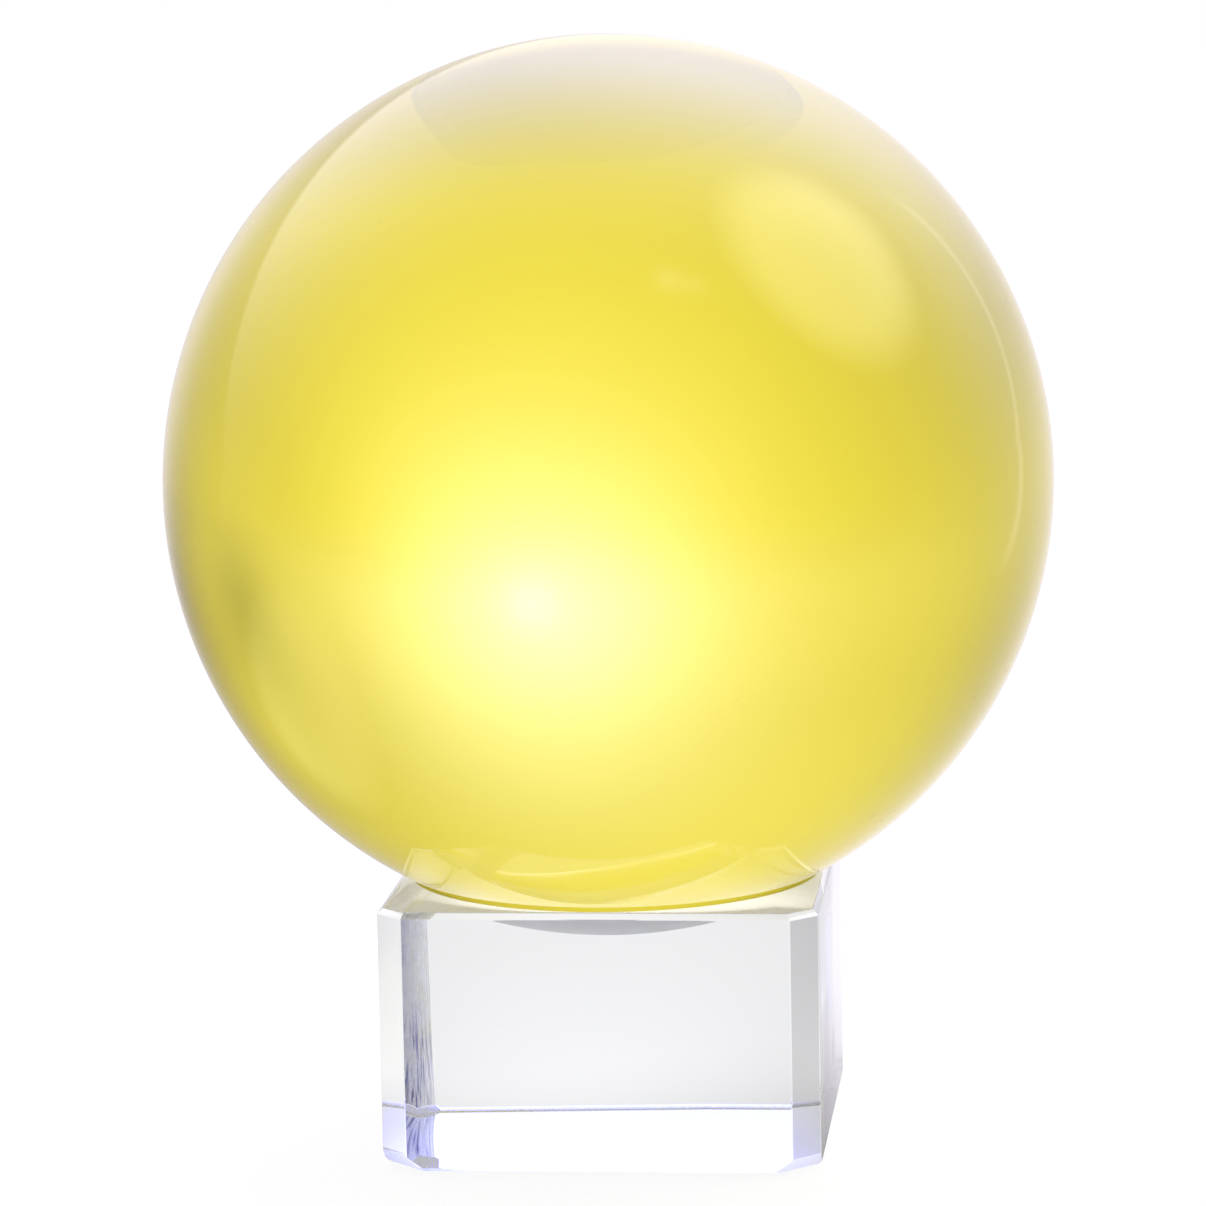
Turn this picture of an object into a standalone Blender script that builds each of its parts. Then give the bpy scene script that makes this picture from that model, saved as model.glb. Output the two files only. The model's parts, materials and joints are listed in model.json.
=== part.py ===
"""Crystal ball on a square glass stand.

A solid glass ball rests in a shallow dish, ground to the ball's own radius, in the top of a small
glass block. The block's four upright corners are cut to flats, its top and bottom edges are bevelled,
and its four bottom corners are knocked off. The ball isn't fixed: it lifts straight up out of the dish.

Metres, +Z up. The origin is the middle of the block's underside, and the ball's centre lies on +Z.
"""

import itertools
import math

import bmesh
import bpy
from mathutils import Vector

# Driving dimensions
BALL_RADIUS = 0.0400
STAND_SIDE = 0.0390  # across two opposite side faces
STAND_HEIGHT = 0.0233
CORNER_LEG = 0.0024  # how far each upright flat reaches along the two sides it joins
TOP_BEVEL = 0.0005
BASE_BEVEL = 0.0007
BASE_CORNER_CUT = 0.00125  # how high the knocked-off bottom corners reach up the upright flats
DISH_RIM_RADIUS = 0.0184
RIM_ARRIS = 0.0002  # the small 45 degree edge around the dish
SEAT_GAP = 0.0003  # between the ball and the dish it rests in

# Fineness of the round surfaces
ROUND_STEPS = 64
BALL_RINGS = 32
DISH_RINGS = 7

# Worked out from the driving dimensions
DISH_RADIUS = BALL_RADIUS + SEAT_GAP
DISH_RIM_Z = STAND_HEIGHT - RIM_ARRIS
BALL_CENTRE_Z = DISH_RIM_Z + math.sqrt(DISH_RADIUS**2 - DISH_RIM_RADIUS**2)
CUTTER_HEADROOM = 0.002  # how far the dish cutter stands above the block


def clear_scene():
    for obj in list(bpy.data.objects):
        bpy.data.objects.remove(obj, do_unlink=True)


def glass_material(name, colour, roughness):
    material = bpy.data.materials.new(name)
    material.use_nodes = True
    material.diffuse_color = (*colour, 1.0)
    shader = material.node_tree.nodes["Principled BSDF"]
    shader.inputs["Base Color"].default_value = (*colour, 1.0)
    shader.inputs["Roughness"].default_value = roughness
    shader.inputs["Metallic"].default_value = 0.0
    shader.inputs["IOR"].default_value = 1.52
    shader.inputs["Transmission Weight"].default_value = 1.0
    return material


def add_object(name, shape, location=(0.0, 0.0, 0.0), material=None):
    """Turn a bmesh into a named object at a location, and free the bmesh."""
    mesh = bpy.data.meshes.new(name)
    shape.to_mesh(mesh)
    shape.free()
    if material:
        mesh.materials.append(material)
    obj = bpy.data.objects.new(name, mesh)
    obj.location = location
    bpy.context.scene.collection.objects.link(obj)
    return obj


def edges_at_height(shape, height):
    """The edges that lie level at one height."""
    return [e for e in shape.edges if all(math.isclose(v.co.z, height, abs_tol=1e-6) for v in e.verts)]


def flatten_edges(shape, edges, width):
    bmesh.ops.bevel(shape, geom=edges, offset=width, offset_type="OFFSET", segments=1, affect="EDGES")


def cut_off_corner(shape, point, outward):
    """Slice away what lies beyond a plane and close the cut."""
    geometry = shape.verts[:] + shape.edges[:] + shape.faces[:]
    sliced = bmesh.ops.bisect_plane(shape, geom=geometry, plane_co=point, plane_no=outward, clear_outer=True)
    rim = [item for item in sliced["geom_cut"] if isinstance(item, bmesh.types.BMEdge)]
    bmesh.ops.contextual_create(shape, geom=rim)


def stand_shape():
    """The block before its dish is ground: bevelled all round, standing on z = 0."""
    shape = bmesh.new()
    bmesh.ops.create_cube(shape, size=1.0)
    bmesh.ops.scale(shape, vec=(STAND_SIDE, STAND_SIDE, STAND_HEIGHT), verts=shape.verts)
    bmesh.ops.translate(shape, vec=(0.0, 0.0, STAND_HEIGHT / 2), verts=shape.verts)
    uprights = [e for e in shape.edges if abs(e.verts[0].co.z - e.verts[1].co.z) > STAND_HEIGHT / 2]
    flatten_edges(shape, uprights, CORNER_LEG)
    flatten_edges(shape, edges_at_height(shape, STAND_HEIGHT), TOP_BEVEL)
    flatten_edges(shape, edges_at_height(shape, 0.0), BASE_BEVEL)
    flat_middle = (STAND_SIDE - CORNER_LEG) / 2
    for side_x, side_y in itertools.product((-1.0, 1.0), repeat=2):
        point = Vector((side_x * flat_middle, side_y * flat_middle, BASE_CORNER_CUT))
        outward = Vector((side_x, side_y, -math.sqrt(2.0))).normalized()
        cut_off_corner(shape, point, outward)
    bmesh.ops.recalc_face_normals(shape, faces=shape.faces)
    return shape


def turned_shape(profile):
    """A closed solid turned about Z. The profile runs from the axis, out and back to the axis."""
    shape = bmesh.new()
    bottom = shape.verts.new((0.0, 0.0, profile[0][1]))
    top = shape.verts.new((0.0, 0.0, profile[-1][1]))
    rings = []
    for radius, height in profile[1:-1]:
        turns = (2 * math.pi * step / ROUND_STEPS for step in range(ROUND_STEPS))
        rings.append([shape.verts.new((radius * math.cos(t), radius * math.sin(t), height)) for t in turns])
    for step in range(ROUND_STEPS):
        after = (step + 1) % ROUND_STEPS
        shape.faces.new((bottom, rings[0][after], rings[0][step]))
        shape.faces.new((top, rings[-1][step], rings[-1][after]))
        for low, high in zip(rings, rings[1:]):
            shape.faces.new((low[step], low[after], high[after], high[step]))
    bmesh.ops.recalc_face_normals(shape, faces=shape.faces)
    return shape


def dish_cutter():
    """The dish with its rim arris, as a solid that stands a little above the block."""
    half_angle = math.asin(DISH_RIM_RADIUS / DISH_RADIUS)
    profile = []
    for ring in range(DISH_RINGS + 1):
        angle = half_angle * ring / DISH_RINGS
        profile.append((DISH_RADIUS * math.sin(angle), BALL_CENTRE_Z - DISH_RADIUS * math.cos(angle)))
    reach = RIM_ARRIS + CUTTER_HEADROOM
    profile.append((DISH_RIM_RADIUS + reach, DISH_RIM_Z + reach))
    profile.append((0.0, DISH_RIM_Z + reach))
    cutter = add_object("dish_cutter", turned_shape(profile))
    cutter.hide_render = True
    cutter.display_type = "WIRE"
    return cutter


def make_stand():
    clear_glass = glass_material("clear_glass", (0.93, 0.94, 0.96), 0.02)
    stand = add_object("glass_stand", stand_shape(), material=clear_glass)
    grind = stand.modifiers.new("dish", "BOOLEAN")
    grind.operation = "DIFFERENCE"
    grind.solver = "EXACT"
    grind.object = dish_cutter()
    return stand


def make_ball():
    """The ball's origin is its centre, on the line along which it lifts."""
    yellow_glass = glass_material("yellow_glass", (0.93, 0.84, 0.20), 0.0)
    shape = bmesh.new()
    bmesh.ops.create_uvsphere(shape, u_segments=ROUND_STEPS, v_segments=BALL_RINGS, radius=BALL_RADIUS)
    ball = add_object("crystal_ball", shape, (0.0, 0.0, BALL_CENTRE_Z), yellow_glass)
    ball.data.shade_smooth()
    return ball


def main():
    clear_scene()
    stand = make_stand()
    ball = make_ball()
    ball.parent = stand


main()
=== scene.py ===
"""The looks of the crystal ball and its glass stand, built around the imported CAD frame.

The ball is a solid of yellow glass and the stand a block of clear glass, so what shows is mostly the
studio seen through them or mirrored on them: a white table, a glow behind it, grey walls and softboxes.
"""

import itertools
import json
import math
from functools import partial

import bmesh
import bpy
from mathutils import Matrix, Vector

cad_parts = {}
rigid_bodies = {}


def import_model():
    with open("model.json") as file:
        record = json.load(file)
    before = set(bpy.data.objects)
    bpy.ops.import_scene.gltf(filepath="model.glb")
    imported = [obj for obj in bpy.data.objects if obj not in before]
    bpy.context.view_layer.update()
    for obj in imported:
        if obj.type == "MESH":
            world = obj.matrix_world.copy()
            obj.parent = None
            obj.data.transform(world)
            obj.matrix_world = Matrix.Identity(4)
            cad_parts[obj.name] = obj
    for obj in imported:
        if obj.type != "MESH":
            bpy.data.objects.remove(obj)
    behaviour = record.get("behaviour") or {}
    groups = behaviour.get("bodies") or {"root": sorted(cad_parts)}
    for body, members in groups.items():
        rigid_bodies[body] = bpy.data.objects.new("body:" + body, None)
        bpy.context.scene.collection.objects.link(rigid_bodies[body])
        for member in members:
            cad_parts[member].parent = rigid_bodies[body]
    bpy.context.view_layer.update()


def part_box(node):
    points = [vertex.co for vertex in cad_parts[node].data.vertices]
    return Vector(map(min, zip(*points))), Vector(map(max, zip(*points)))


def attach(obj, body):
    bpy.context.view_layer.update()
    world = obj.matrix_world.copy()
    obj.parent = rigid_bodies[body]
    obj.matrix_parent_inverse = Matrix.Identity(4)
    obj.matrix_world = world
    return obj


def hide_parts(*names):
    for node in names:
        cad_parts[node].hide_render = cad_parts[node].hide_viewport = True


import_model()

# The stand's cut edges, in metres
CORNER_LEG = 0.0024
TOP_BEVEL = 0.0005
BASE_BEVEL = 0.0003
FRONT_CORNER_CUT = 0.00125  # height of the small flat under each upright edge
BACK_CORNER_CUT = 0.0005
DISH_RIM_RADIUS = 0.0184
RIM_ARRIS = 0.0002
SEAT_GAP = 0.0003

# Fineness of the visible meshes
BALL_CUTS = 110  # squares along each side of the six patches that make the ball
DISH_STEPS = 256
DISH_RINGS = 40
EDGE_ROUNDING = 0.00010
EDGE_STEPS = 3

# How coarsely the stand's faces are ground, from 0 for polished
TOP_GRIND = 0.15
UPRIGHT_GRIND = 0.03
BASE_GRIND = 1.0
UNPOLISHED_GRIND = 1.5

# Painted shade that greys the upright edges, from 0 for clear
FRONT_RIGHT_PAINTED_SHADE = 0.65
BACK_LEFT_PAINTED_SHADE = 0.95  # at its outer side, fading to 0 across the flat

# The glass. A surface colour is what is left of white light after passing two such surfaces
GLASS_IOR = 1.52
YELLOW_SURFACE = (0.949, 0.867, 0.245, 1.0)
YELLOW_CLOUD = (0.8826, 0.8063, 0.2279, 1.0)
YELLOW_DEPTH = (0.963, 0.898, 0.0, 1.0)
YELLOW_DENSITY = 17.6
CLEAR_SURFACE = (0.99, 0.992, 1.0, 1.0)
CLEAR_DEPTH = (0.0, 0.02, 0.10, 1.0)
CLEAR_DENSITY = 1.2
# Painted warm tints that cancel the cold cast of the glow seen through the base edge and the back left edge
BASE_EDGE_PAINTED_WARMTH = (0.98, 0.97, 0.87, 1.0)
UNPOLISHED_PAINTED_WARMTH = (0.99, 0.985, 0.62, 1.0)
# The grey that painted shade, and the wear on the back left edge, darken towards
WEAR_AND_PAINTED_SHADE_GREY = (0.20, 0.20, 0.205, 1.0)
MATT_WHITE = (0.93, 0.93, 0.94, 1.0)
MATT_GREY = (0.84, 0.84, 0.86, 1.0)

# The camera, aimed as in the photograph
CAMERA_PLACE = (0.0472, -0.4603, 0.1196)
CAMERA_PITCH = math.radians(-8.82)
CAMERA_TURN = math.radians(5.94)
CAMERA_ROLL = math.radians(-1.10)
CAMERA_LENS = 154.7
SENSOR_WIDTH = 36.0


class Shader:
    """Short names for building one node tree."""

    def __init__(self, tree):
        self.tree = tree
        tree.nodes.clear()

    def node(self, kind, **settings):
        node = self.tree.nodes.new(kind)
        for key, value in settings.items():
            if key in node.inputs:
                node.inputs[key].default_value = value
            else:
                setattr(node, key, value)
        return node

    def link(self, source, target):
        self.tree.links.new(source, target)

    def put(self, value, target):
        """Link a socket, or set a constant."""
        if isinstance(value, bpy.types.NodeSocket):
            self.link(value, target)
        else:
            target.default_value = value

    def math(self, operation, a, b=0.0):
        node = self.node("ShaderNodeMath", operation=operation)
        self.put(a, node.inputs[0])
        self.put(b, node.inputs[1])
        return node.outputs[0]

    def dot(self, vector, fixed):
        node = self.node("ShaderNodeVectorMath", operation="DOT_PRODUCT")
        self.link(vector, node.inputs[0])
        node.inputs[1].default_value = fixed
        return node.outputs["Value"]

    def ramp(self, value, low, high, to_low=0.0, to_high=1.0):
        """Smooth change from one value to another."""
        node = self.node("ShaderNodeMapRange", interpolation_type="SMOOTHSTEP")
        self.put(value, node.inputs["Value"])
        node.inputs["From Min"].default_value = low
        node.inputs["From Max"].default_value = high
        self.put(to_low, node.inputs["To Min"])
        node.inputs["To Max"].default_value = to_high
        return node.outputs["Result"]

    def lobe(self, cosine, width_degrees, strength):
        """A soft spot of light: strongest where the cosine is 1, fading over an angle."""
        sharpness = 1.0 / math.radians(width_degrees) ** 2
        exponent = self.math("MULTIPLY", self.math("SUBTRACT", cosine, 1.0), sharpness)
        return self.math("MULTIPLY", self.math("EXPONENT", exponent), strength)

    def total(self, values):
        result = values[0]
        for value in values[1:]:
            result = self.math("ADD", result, value)
        return result

    def grey(self, value):
        node = self.node("ShaderNodeCombineColor")
        for channel in node.inputs:
            self.link(value, channel)
        return node.outputs["Color"]

    def cap(self, view, direction, outer_degrees, inner_degrees):
        """1 within the inner angle from a direction, falling to 0 at the outer angle."""
        outer = math.cos(math.radians(outer_degrees))
        inner = math.cos(math.radians(inner_degrees))
        return self.ramp(self.dot(view, direction), outer, inner)

    def tinted(self, value, colour):
        node = self.node("ShaderNodeVectorMath", operation="SCALE")
        node.inputs[0].default_value = colour
        self.link(value, node.inputs["Scale"])
        return node.outputs["Vector"]

    def total_colour(self, colours):
        result = colours[0]
        for colour in colours[1:]:
            node = self.node("ShaderNodeVectorMath", operation="ADD")
            self.link(result, node.inputs[0])
            self.link(colour, node.inputs[1])
            result = node.outputs["Vector"]
        return result

    def choose(self, factor, no, yes):
        node = self.node("ShaderNodeMix", data_type="RGBA")
        node.clamp_factor = False
        self.put(factor, node.inputs[0])
        self.put(no, node.inputs[6])
        self.put(yes, node.inputs[7])
        return node.outputs[2]

    def noise(self, place, scale, detail):
        node = self.node("ShaderNodeTexNoise", Scale=scale, Detail=detail)
        self.link(place, node.inputs["Vector"])
        return node.outputs["Fac"]

    def bump(self, height, strength, distance, normal=None):
        node = self.node("ShaderNodeBump", Strength=strength, Distance=distance)
        self.link(height, node.inputs["Height"])
        if normal:
            self.link(normal, node.inputs["Normal"])
        return node.outputs["Normal"]


def toward(azimuth, elevation):
    """A unit vector. Azimuth 0 is +Y, positive to +X."""
    a, e = math.radians(azimuth), math.radians(elevation)
    return (math.sin(a) * math.cos(e), math.cos(a) * math.cos(e), math.sin(e))


def clear_unframed():
    """Nothing but the frame is in the scene when the modelling starts."""
    for obj in list(bpy.data.objects):
        if obj.type in {"CAMERA", "LIGHT"}:
            bpy.data.objects.remove(obj, do_unlink=True)


def add_piece(name, shape, material):
    mesh = bpy.data.meshes.new(name)
    shape.to_mesh(mesh)
    shape.free()
    mesh.materials.append(material)
    obj = bpy.data.objects.new(name, mesh)
    bpy.context.scene.collection.objects.link(obj)
    return obj


# Materials


def new_material(name):
    material = bpy.data.materials.new(name)
    material.use_nodes = True
    shader = Shader(material.node_tree)
    output = shader.node("ShaderNodeOutputMaterial")
    return material, shader, output


def principled(s, output):
    body = s.node("ShaderNodeBsdfPrincipled")
    body.inputs["IOR"].default_value = GLASS_IOR
    s.link(body.outputs["BSDF"], output.inputs["Surface"])
    return body


def absorb(s, output, colour, density):
    volume = s.node("ShaderNodeVolumeAbsorption")
    volume.inputs["Color"].default_value = colour
    volume.inputs["Density"].default_value = density
    s.link(volume.outputs["Volume"], output.inputs["Volume"])


def yellow_glass():
    """Polished crystal: faint handling marks, a few specks of dust, and the ripple that polishing leaves."""
    material, s, output = new_material("yellow_glass")
    place = s.node("ShaderNodeTexCoord").outputs["Object"]
    body = principled(s, output)
    body.inputs["Transmission Weight"].default_value = 1.0
    absorb(s, output, YELLOW_DEPTH, YELLOW_DENSITY)

    cloud = s.ramp(s.noise(place, 45.0, 2.0), 0.35, 0.75, 0.0, 0.35)
    s.link(s.choose(cloud, YELLOW_SURFACE, YELLOW_CLOUD), body.inputs["Base Color"])

    smudge = s.ramp(s.noise(place, 60.0, 4.0), 0.52, 0.72, 0.0, 0.018)
    grains = s.node("ShaderNodeTexVoronoi", feature="F1", Scale=700.0)
    s.link(place, grains.inputs["Vector"])
    chosen = s.ramp(s.noise(place, 130.0, 0.0), 0.64, 0.70)
    speck = s.math("MULTIPLY", s.ramp(grains.outputs["Distance"], 0.04, 0.09, 1.0, 0.0), chosen)
    s.link(s.math("ADD", smudge, s.math("MULTIPLY", speck, 0.35)), body.inputs["Roughness"])

    ripple = s.bump(s.noise(place, 28.0, 1.0), 0.02, 0.0004)
    s.link(s.bump(speck, 0.12, 0.00002, ripple), body.inputs["Normal"])
    return material


def grind_lines(s, place):
    """Noise drawn out along the height, as a grinding belt leaves it."""
    stretched = s.node("ShaderNodeMapping")
    stretched.inputs["Scale"].default_value = (1.0, 1.0, 0.05)
    s.link(place, stretched.inputs["Vector"])
    return s.noise(stretched.outputs["Vector"], 6000.0, 3.0)


def clear_glass():
    """The stand: clear polished faces, and cut edges that keep the marks of grinding, with painted shade on
    two upright edges and painted warm tints on the base edge and the back left edge.
    """
    material, s, output = new_material("clear_glass")
    place = s.node("ShaderNodeTexCoord").outputs["Object"]
    ground = s.node("ShaderNodeAttribute", attribute_name="ground").outputs["Fac"]
    painted_shade = s.node("ShaderNodeAttribute", attribute_name="painted_shade").outputs["Fac"]
    height = s.dot(place, (0.0, 0.0, 1.0))
    body = principled(s, output)
    body.inputs["Transmission Weight"].default_value = 1.0
    absorb(s, output, CLEAR_DEPTH, CLEAR_DENSITY)

    unpolished = s.ramp(ground, 1.1, 1.4)
    near_base = s.ramp(height, 0.0014, 0.0018, 1.0, 0.0)
    base_edge = s.math("MULTIPLY", s.ramp(ground, 0.5, 0.9), near_base)
    # Painted warm tints cancel the cold cast of the glow seen through the base edge and the back left edge
    polished = s.choose(base_edge, CLEAR_SURFACE, BASE_EDGE_PAINTED_WARMTH)
    clean = s.choose(unpolished, polished, UNPOLISHED_PAINTED_WARMTH)

    lines = grind_lines(s, place)
    coarse = s.ramp(height, 0.005, 0.010, 0.75, 0.10)
    scratches = s.math("MULTIPLY", coarse, s.ramp(lines, 0.45, 0.62))
    patches = s.ramp(s.noise(place, 500.0, 2.0), 0.40, 0.70, 0.0, 0.15)
    wear = s.math("MULTIPLY", unpolished, s.math("ADD", scratches, patches))
    # Painted shade greys the upright edges; the back left edge also darkens with the streaks and patches of
    # its wear
    s.link(s.choose(s.math("ADD", painted_shade, wear), clean, WEAR_AND_PAINTED_SHADE_GREY), body.inputs["Base Color"])

    smudge = s.ramp(s.noise(place, 80.0, 4.0), 0.55, 0.75, 0.0, 0.012)
    matt = s.math("MULTIPLY", ground, s.ramp(s.noise(place, 700.0, 3.0), 0.3, 0.7, 0.28, 0.42))
    s.link(s.math("ADD", smudge, matt), body.inputs["Roughness"])
    s.link(s.bump(s.math("MULTIPLY", lines, ground), 0.35, 0.00003), body.inputs["Normal"])
    return material


def ground_glass():
    """The floor of the dish, ground matt so that the ball doesn't slip."""
    material, s, output = new_material("ground_glass")
    place = s.node("ShaderNodeTexCoord").outputs["Object"]
    body = principled(s, output)
    grit = s.noise(place, 3000.0, 3.0)
    worn = s.ramp(s.noise(place, 120.0, 3.0), 0.35, 0.65)
    s.link(s.choose(worn, MATT_GREY, MATT_WHITE), body.inputs["Base Color"])
    s.link(s.ramp(grit, 0.3, 0.7, 0.55, 0.85), body.inputs["Roughness"])
    s.link(s.bump(grit, 0.05, 0.00002), body.inputs["Normal"])
    return material


# The ball


def ball_shape(radius):
    """Six square patches bowed out into a sphere, so that no point is a pole."""
    shape = bmesh.new()
    bmesh.ops.create_cube(shape, size=2.0)
    bmesh.ops.subdivide_edges(shape, edges=shape.edges[:], cuts=BALL_CUTS - 1, use_grid_fill=True)
    for vert in shape.verts:
        even = Vector([math.tan(c * math.pi / 4) for c in vert.co])
        vert.co = even.normalized() * radius
    return shape


def make_ball(centre, radius):
    shape = ball_shape(radius)
    bmesh.ops.translate(shape, vec=centre, verts=shape.verts)
    ball = add_piece("ball_glass", shape, yellow_glass())
    ball.data.shade_smooth()
    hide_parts("crystal_ball")
    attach(ball, "ball")
    return ball


# The stand


def edges_at_height(shape, height):
    return [e for e in shape.edges if all(math.isclose(v.co.z, height, abs_tol=1e-6) for v in e.verts)]


def flatten_edges(shape, edges, width):
    bmesh.ops.bevel(shape, geom=edges, offset=width, offset_type="OFFSET", segments=1, affect="EDGES")


def cut_off_corner(shape, point, outward):
    geometry = shape.verts[:] + shape.edges[:] + shape.faces[:]
    sliced = bmesh.ops.bisect_plane(shape, geom=geometry, plane_co=point, plane_no=outward, clear_outer=True)
    rim = [item for item in sliced["geom_cut"] if isinstance(item, bmesh.types.BMEdge)]
    bmesh.ops.contextual_create(shape, geom=rim)


def block_shape(side, height):
    shape = bmesh.new()
    bmesh.ops.create_cube(shape, size=1.0)
    bmesh.ops.scale(shape, vec=(side, side, height), verts=shape.verts)
    bmesh.ops.translate(shape, vec=(0.0, 0.0, height / 2), verts=shape.verts)
    uprights = [e for e in shape.edges if abs(e.verts[0].co.z - e.verts[1].co.z) > height / 2]
    flatten_edges(shape, uprights, CORNER_LEG)
    flatten_edges(shape, edges_at_height(shape, height), TOP_BEVEL)
    flatten_edges(shape, edges_at_height(shape, 0.0), BASE_BEVEL)
    flat_middle = (side - CORNER_LEG) / 2
    for side_x, side_y in itertools.product((-1.0, 1.0), repeat=2):
        cut = FRONT_CORNER_CUT if side_y < 0.0 else BACK_CORNER_CUT
        point = Vector((side_x * flat_middle, side_y * flat_middle, cut))
        cut_off_corner(shape, point, Vector((side_x, side_y, -math.sqrt(2.0))).normalized())
    bmesh.ops.recalc_face_normals(shape, faces=shape.faces)
    sharp_edges = [e for e in shape.edges if e.calc_face_angle() > math.radians(20)]
    bmesh.ops.bevel(shape, geom=sharp_edges, offset=EDGE_ROUNDING, offset_type="OFFSET",
                    segments=EDGE_STEPS, profile=0.5, affect="EDGES")
    bmesh.ops.recalc_face_normals(shape, faces=shape.faces)
    return shape


def turned_shape(profile, steps):
    shape = bmesh.new()
    bottom = shape.verts.new((0.0, 0.0, profile[0][1]))
    top = shape.verts.new((0.0, 0.0, profile[-1][1]))
    rings = []
    for radius, height in profile[1:-1]:
        turns = (2 * math.pi * step / steps for step in range(steps))
        rings.append([shape.verts.new((radius * math.cos(t), radius * math.sin(t), height)) for t in turns])
    for step in range(steps):
        after = (step + 1) % steps
        shape.faces.new((bottom, rings[0][after], rings[0][step]))
        shape.faces.new((top, rings[-1][step], rings[-1][after]))
        for low, high in zip(rings, rings[1:]):
            shape.faces.new((low[step], low[after], high[after], high[step]))
    bmesh.ops.recalc_face_normals(shape, faces=shape.faces)
    return shape


def dish_shape(dish_radius, centre_z, height):
    half_angle = math.asin(DISH_RIM_RADIUS / dish_radius)
    profile = []
    for ring in range(DISH_RINGS + 1):
        angle = half_angle * ring / DISH_RINGS
        profile.append((dish_radius * math.sin(angle), centre_z - dish_radius * math.cos(angle)))
    headroom = 0.002  # how far the cutter stands out of the block
    reach = RIM_ARRIS + headroom
    profile.append((DISH_RIM_RADIUS + reach, height - RIM_ARRIS + reach))
    profile.append((0.0, height - RIM_ARRIS + reach))
    return turned_shape(profile, DISH_STEPS)


def mark_cuts(mesh, side, height):
    """Gives the dish its matt material, the cut edges and the top their grind, and two upright edges their
    painted shade.
    """
    ground = mesh.attributes.new("ground", "FLOAT", "FACE")
    painted_shade = mesh.attributes.new("painted_shade", "FLOAT", "CORNER")
    dish_reach = DISH_RIM_RADIUS + RIM_ARRIS
    for face in mesh.polygons:
        n, c = face.normal, face.center
        in_dish = c.z < height - 1e-5 and n.z > 0.2 and math.hypot(c.x, c.y) < dish_reach
        faces_up = n.z > 0.3
        slopes_under = -0.95 < n.z < -0.3
        cuts_upright = abs(n.z) < 0.1 and min(abs(n.x), abs(n.y)) > 0.6
        if in_dish:
            face.material_index = 1
        elif faces_up:
            ground.data[face.index].value = TOP_GRIND
        elif slopes_under:
            ground.data[face.index].value = BASE_GRIND
        elif cuts_upright:
            back_left = n.x < 0.0 < n.y
            front_right = n.y < 0.0 < n.x
            ground.data[face.index].value = UNPOLISHED_GRIND if back_left else UPRIGHT_GRIND
            # Painted shade: darker towards the outer side of the back left flat, even on the front right one
            for corner in face.loop_indices:
                place = mesh.vertices[mesh.loops[corner].vertex_index].co
                outwards = (abs(place.x) - side / 2 + CORNER_LEG) / CORNER_LEG
                if back_left:
                    painted_shade.data[corner].value = BACK_LEFT_PAINTED_SHADE * outwards
                elif front_right:
                    painted_shade.data[corner].value = FRONT_RIGHT_PAINTED_SHADE


def make_stand(centre_z, ball_radius):
    low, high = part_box("glass_stand")
    material = clear_glass()
    stand = add_piece("stand_glass", block_shape(high.x - low.x, high.z), material)
    cutter = add_piece("dish_cutter", dish_shape(ball_radius + SEAT_GAP, centre_z, high.z), material)
    grind = stand.modifiers.new("dish", "BOOLEAN")
    grind.operation = "DIFFERENCE"
    grind.solver = "EXACT"
    grind.object = cutter
    bpy.context.view_layer.update()
    cut_stand = stand.evaluated_get(bpy.context.evaluated_depsgraph_get())
    hollowed = bpy.data.meshes.new_from_object(cut_stand)
    stand.modifiers.clear()
    stand.data = hollowed
    bpy.data.objects.remove(cutter, do_unlink=True)
    stand.data.materials.append(ground_glass())
    mark_cuts(stand.data, high.x - low.x, high.z)
    stand.data.shade_smooth()
    stand.data.set_sharp_from_angle(angle=math.radians(12))
    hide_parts("glass_stand")
    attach(stand, "stand")
    return stand


# The studio

TABLE_RADIUS = 2.0
TABLE_DROP = 0.0002  # the stand's polished underside doesn't touch the table all over
TABLE_WHITE = 0.90
TABLE_SHADE = 0.12
GLOW_COLOUR = (0.0, 0.031, 1.0)
OVERHEAD_COLOUR = (1.01, 0.975, 1.05)
SIDE_BOX_COLOUR = (2.74, 2.60, 1.9)
LOW_BOX_COLOUR = (0.7, 0.686, 0.385)
PLAIN_WHITE = (1.0, 1.0, 1.0, 1.0)


def soft_spot(s, view, azimuth, elevation, width, strength):
    """Light that is strongest in one direction. The angles are in degrees; a negative strength darkens."""
    return s.lobe(s.dot(view, toward(azimuth, elevation)), width, strength)


def light_bent(s, view):
    """What glass shows by bending: pale walls with darker and lighter stretches, and a cold glow behind."""
    spot = partial(soft_spot, s, view)
    height = s.dot(view, (0.0, 0.0, 1.0))
    horizon = s.ramp(height, -0.11, 0.06)
    low = s.math("MULTIPLY", horizon, s.ramp(height, 0.0, 0.3, 1.0, 0.0))
    band = s.math("MULTIPLY", low, s.ramp(s.dot(view, (0.0, 1.0, 0.0)), -0.2, 0.88))
    walls = s.total([
        0.81,
        s.math("MULTIPLY", horizon, -0.12),
        s.math("MULTIPLY", band, 0.13),
        spot(1, 2, 12, 0.56),
        spot(-13, 42, 42, 0.46),
        spot(-24, -56, 21, 0.46),
        spot(-57, -36, 22, -0.63),
        spot(-70, 25, 16, -0.33),
        spot(103, -16, 44, -0.62),
        spot(75, 12, 8, -0.52),
        spot(38, 6, 6, -0.39),
        spot(39, 3, 9, 0.28),
        spot(45, 26, 6, 0.16),
        spot(148, -12, 27, 0.62),
        spot(-140, 5, 27, 0.35),
    ])
    glow = s.total([
        spot(0.5, 2.3, 1.8, 2.9),
        spot(-1.0, 1.4, 7.3, 5.9),
        s.math("MULTIPLY", horizon, spot(-0.6, 10, 14.5, 2.5)),
        s.math("MULTIPLY", band, 0.2),
    ])
    return s.total_colour([s.grey(walls), s.tinted(glow, GLOW_COLOUR)])


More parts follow.
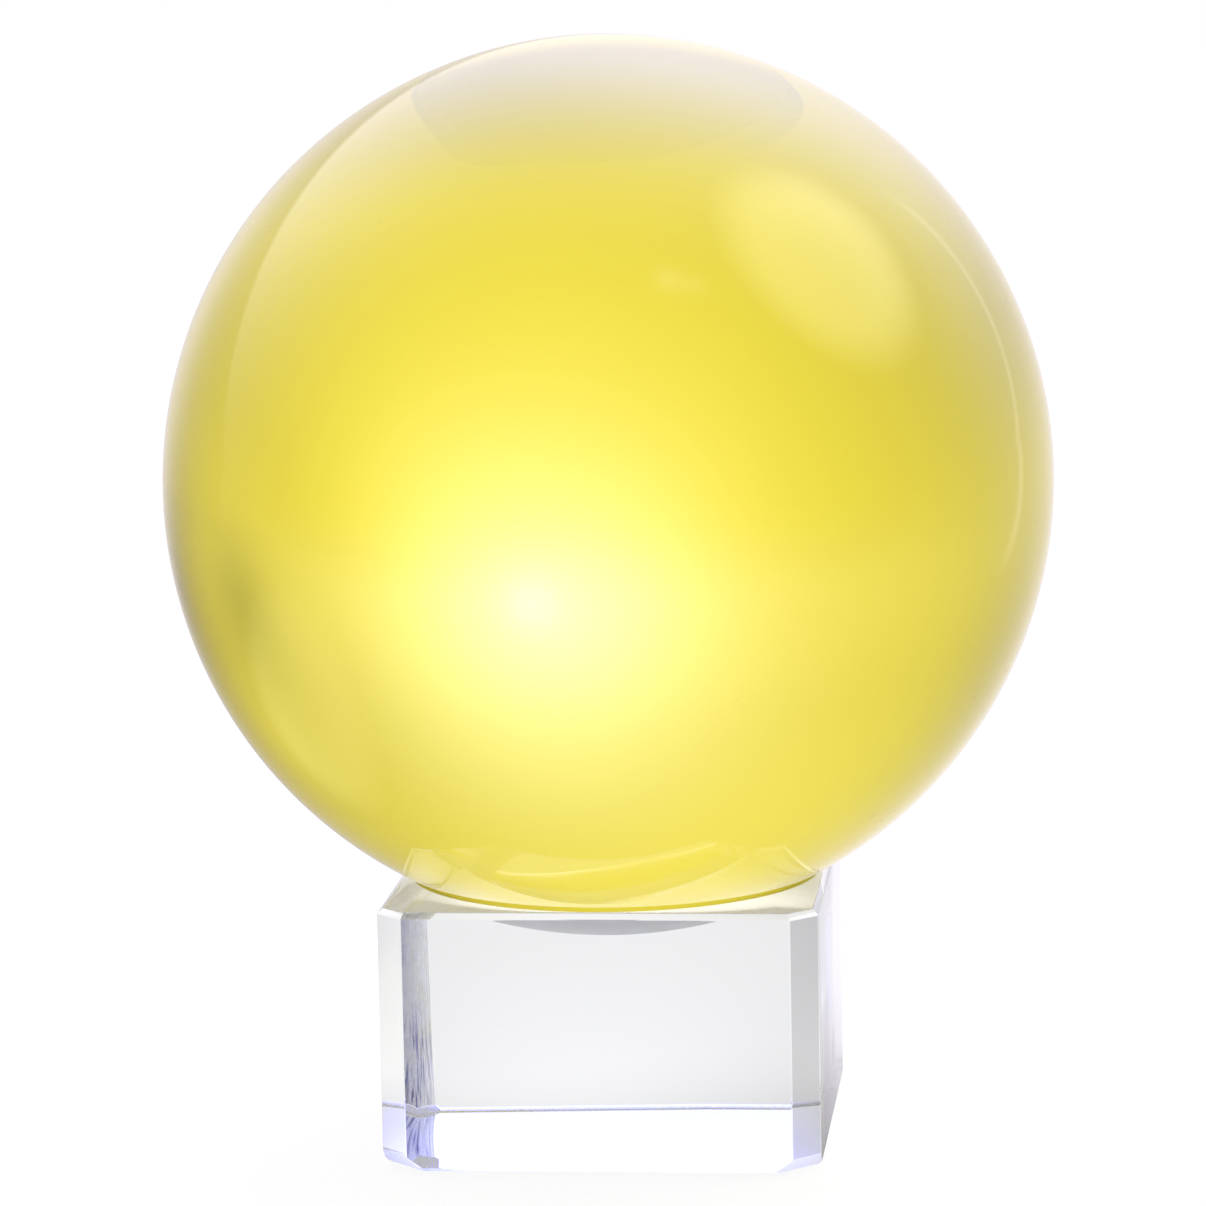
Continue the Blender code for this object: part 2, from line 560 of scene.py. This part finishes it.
def light_mirrored(s, view):
    """What glass shows by mirroring: an overhead softbox with a round edge, smaller ones and a thin arc."""
    spot = partial(soft_spot, s, view)
    below_rim = s.cap(view, toward(-37.6, -11.6), 35.7, 33.2)
    above_rim = s.math("SUBTRACT", 1.0, s.math("MULTIPLY", below_rim, 0.58))
    overhead = s.math("ADD", spot(7, 54, 24, 4.5), spot(-55, 36, 21.6, 1.5))
    softboxes = s.total([
        0.05,
        s.math("MULTIPLY", above_rim, overhead),
        spot(20, -36, 35.6, 1.0),
        spot(-30, 6, 13, 0.56),
        spot(52, 20, 16, 0.70),
        spot(147, 57, 2.4, 1.1),
        spot(138, 54, 1.8, 0.7),
    ])
    off_arc = s.math("SUBTRACT", s.dot(view, toward(74, 17)), math.cos(math.radians(35)))
    near_arc = s.math("SUBTRACT", 1.0, s.math("MULTIPLY", off_arc, off_arc))
    arc_end = s.ramp(s.dot(view, toward(42, 5)), 0.86, 0.95)
    return s.total_colour([
        s.tinted(softboxes, OVERHEAD_COLOUR),
        s.tinted(s.cap(view, toward(85, 45), 26.5, 11.5), SIDE_BOX_COLOUR),
        s.tinted(s.cap(view, toward(-97, -35), 21, 10), LOW_BOX_COLOUR),
        s.grey(s.math("MULTIPLY", arc_end, s.lobe(near_arc, 0.7, 0.5))),
    ])


def studio_light(s, view):
    """The light from one direction, as a colour. What the camera sees directly is plain white."""
    path = s.node("ShaderNodeLightPath")
    in_glass = s.choose(path.outputs["Is Reflection Ray"], light_bent(s, view), light_mirrored(s, view))
    return s.choose(path.outputs["Is Camera Ray"], in_glass, PLAIN_WHITE)


def studio_world():
    world = bpy.data.worlds.new("studio")
    world.use_nodes = True
    bpy.context.scene.world = world
    s = Shader(world.node_tree)
    output = s.node("ShaderNodeOutputWorld")
    background = s.node("ShaderNodeBackground")
    view = s.node("ShaderNodeTexCoord").outputs["Generated"]
    s.link(studio_light(s, view), background.inputs["Color"])
    s.link(background.outputs["Background"], output.inputs["Surface"])


def table_painted_light(s, place):
    """Painted light on the table as glass sees it: painted shade where it is looked down on behind the
    stand, a painted glow under it.
    """
    facing = s.node("ShaderNodeLayerWeight").outputs["Facing"]
    steep = s.ramp(facing, -0.06, 0.47, 0.95, 0.0)
    reach = s.node("ShaderNodeVectorMath", operation="LENGTH")
    s.link(place, reach.inputs[0])
    beyond_stand = s.ramp(reach.outputs["Value"], 0.035, 0.060)
    behind_stand = s.ramp(s.dot(place, (0.0, 1.0, 0.0)), -0.02, 0.04)
    painted_shade_behind_stand = s.math("MULTIPLY", steep, s.math("MULTIPLY", beyond_stand, behind_stand))
    painted_light_under_stand = s.ramp(reach.outputs["Value"], 0.012, 0.022, 1.0, 0.0)
    return s.math("ADD", s.math("SUBTRACT", 1.0, painted_shade_behind_stand), painted_light_under_stand)


def table_material(eye):
    """White laminate. In glass it carries on the walls' light, as seen from the middle of the ball."""
    material, s, output = new_material("table")
    place = s.node("ShaderNodeNewGeometry").outputs["Position"]
    away = s.node("ShaderNodeVectorMath", operation="SUBTRACT")
    s.link(place, away.inputs[0])
    away.inputs[1].default_value = eye
    view = s.node("ShaderNodeVectorMath", operation="NORMALIZE")
    s.link(away.outputs["Vector"], view.inputs[0])
    # For rays from the glass the table glows with the walls' light, shaped by painted light and painted
    # shade
    in_glass = s.node("ShaderNodeEmission")
    s.link(table_painted_light(s, place), in_glass.inputs["Strength"])
    s.link(studio_light(s, view.outputs["Vector"]), in_glass.inputs["Color"])

    table = s.node("ShaderNodeBsdfPrincipled", Roughness=0.6)
    table.inputs["Specular IOR Level"].default_value = 0.0
    table.inputs["Emission Color"].default_value = PLAIN_WHITE
    table.inputs["Emission Strength"].default_value = TABLE_WHITE
    grain = s.noise(place, 900.0, 3.0)
    s.link(s.ramp(grain, 0.3, 0.7, TABLE_SHADE * 0.94, TABLE_SHADE), table.inputs["Base Color"])

    blend = s.node("ShaderNodeMixShader")
    s.link(s.node("ShaderNodeLightPath").outputs["Is Camera Ray"], blend.inputs["Fac"])
    s.link(in_glass.outputs["Emission"], blend.inputs[1])
    s.link(table.outputs["BSDF"], blend.inputs[2])
    s.link(blend.outputs["Shader"], output.inputs["Surface"])
    return material


def make_table(eye):
    shape = bmesh.new()
    bmesh.ops.create_circle(shape, cap_ends=True, segments=96, radius=TABLE_RADIUS)
    bmesh.ops.translate(shape, vec=(0.0, 0.0, -TABLE_DROP), verts=shape.verts)
    table = add_piece("table_top", shape, table_material(eye))
    return table


def make_camera():
    data = bpy.data.cameras.new("camera")
    data.lens = CAMERA_LENS
    data.sensor_width = SENSOR_WIDTH
    camera = bpy.data.objects.new("camera", data)
    bpy.context.scene.collection.objects.link(camera)
    aim = Matrix.Rotation(CAMERA_TURN, 4, "Z") @ Matrix.Rotation(math.pi / 2 + CAMERA_PITCH, 4, "X")
    camera.matrix_world = Matrix.Translation(CAMERA_PLACE) @ aim @ Matrix.Rotation(CAMERA_ROLL, 4, "Z")
    bpy.context.scene.camera = camera


def main():
    ball_low, ball_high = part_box("crystal_ball")
    ball_radius = (ball_high.z - ball_low.z) / 2
    centre = (ball_low + ball_high) / 2
    make_ball(centre, ball_radius)
    make_stand(centre.z, ball_radius)
    studio_world()
    make_table(centre)
    make_camera()
    bpy.context.scene.view_settings.view_transform = "Standard"
    bpy.context.scene.cycles.max_bounces = 32
    bpy.context.scene.cycles.transmission_bounces = 32
    bpy.context.scene.cycles.glossy_bounces = 16


clear_unframed()
main()
